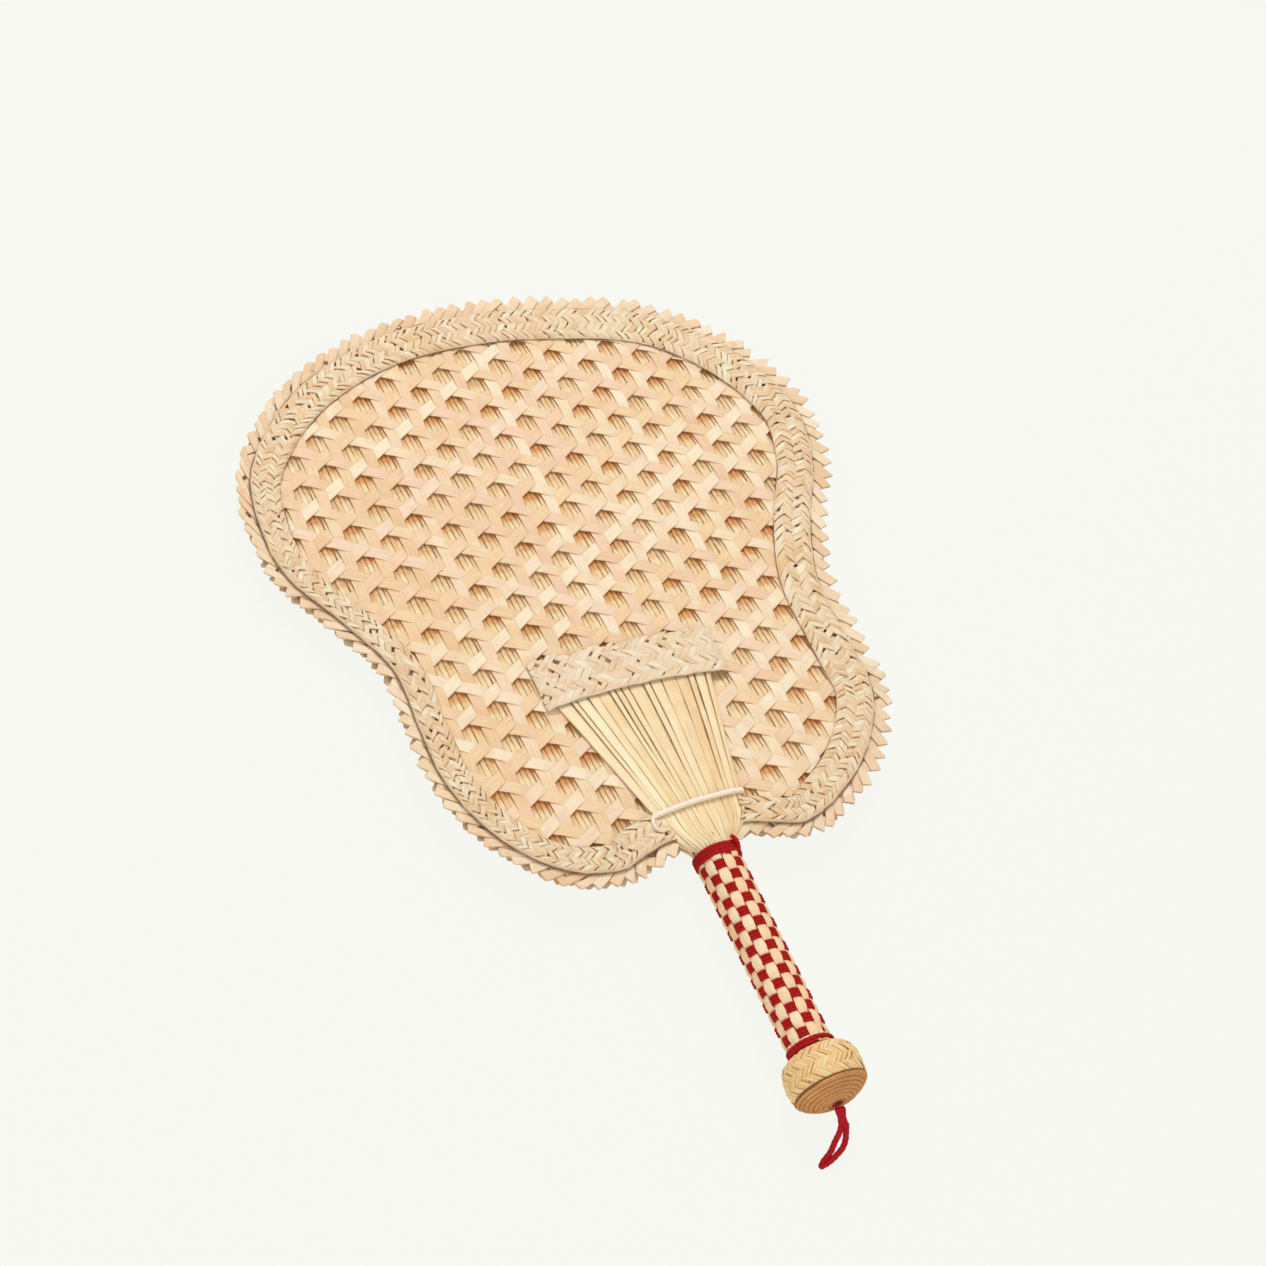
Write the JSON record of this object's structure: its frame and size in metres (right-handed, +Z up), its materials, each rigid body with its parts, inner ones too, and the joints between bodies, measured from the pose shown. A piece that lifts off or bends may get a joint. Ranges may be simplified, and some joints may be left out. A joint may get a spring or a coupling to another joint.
{
  "type": "woven hand fan",
  "caption": "Hand fan: open hexagonal plant-strip weave in a plaited rim, fan-shaped splints down to a round corded grip, and a coiled pommel with a hanging loop.",
  "frame": {"origin": "centre of the bounding box's base, without the hanging loop: on the surface that the fan's back lies on", "axes": "+Y from the pommel to the top of the blade, +X to the right of the blade seen from its front, +Z up out of the blade's front; the fan rests on its back rim and its pommel, so the blade leans 1.7 degrees"},
  "size_m": [0.257, 0.3967, 0.0302],
  "materials": {
    "weave_strip": "dry split plant strip, matt, pale straw",
    "edge_braid": "folded plant strip, matt, pale straw",
    "plait_strip": "plaited plant strip, matt, straw with brown shadows",
    "splint_strip": "split splint, faint sheen, yellow straw",
    "inner_stick": "plain dried stems, matt",
    "grip_warp": "flat straw strip, matt, pale",
    "pommel_braid": "coiled plant braid, matt, tan brown",
    "sewing_thread": "twisted cotton thread, matt, off white",
    "red_cord": "twisted dyed cord, matt, deep red"
  },
  "bodies": {
    "fan": {"front_weave": "weave_strip", "rib_sheet": "weave_strip", "back_weave": "weave_strip", "front_edging": "edge_braid", "back_edging": "edge_braid", "front_plait": "plait_strip", "back_plait": "plait_strip", "front_pocket": "plait_strip", "back_pocket": "plait_strip", "front_splint_01": "splint_strip", "front_splint_02": "splint_strip", "front_splint_03": "splint_strip", "front_splint_04": "splint_strip", "front_splint_05": "splint_strip", "front_splint_06": "splint_strip", "front_splint_07": "splint_strip", "front_splint_08": "splint_strip", "front_splint_09": "splint_strip", "front_splint_10": "splint_strip", "front_splint_11": "splint_strip", "front_splint_12": "splint_strip", "front_splint_13": "splint_strip", "front_splint_14": "splint_strip", "front_splint_15": "splint_strip", "front_splint_16": "splint_strip", "back_splint_01": "splint_strip", "back_splint_02": "splint_strip", "back_splint_03": "splint_strip", "back_splint_04": "splint_strip", "back_splint_05": "splint_strip", "back_splint_06": "splint_strip", "back_splint_07": "splint_strip", "back_splint_08": "splint_strip", "back_splint_09": "splint_strip", "back_splint_10": "splint_strip", "back_splint_11": "splint_strip", "back_splint_12": "splint_strip", "back_splint_13": "splint_strip", "back_splint_14": "splint_strip", "back_splint_15": "splint_strip", "back_splint_16": "splint_strip", "handle_core": "inner_stick", "grip_sleeve": "grip_warp", "pommel_shell": "pommel_braid", "pommel_core": "pommel_braid", "pommel_coil": "pommel_braid", "binding_thread": "sewing_thread", "grip_weft": "red_cord", "top_collar": "red_cord", "bottom_collar": "red_cord", "loop_knot": "red_cord"},
    "loop": {"loop_neck": "red_cord", "hanging_loop": "red_cord"}
  },
  "joints": [
    {"name": "loop_swing", "type": "hinge", "parent": "fan", "child": "loop", "pos_m": [-0.00684, -0.19134, 0.01549], "axis": [0, 0.0294, 0.9996], "range_deg": [-50, 50]}
  ]
}
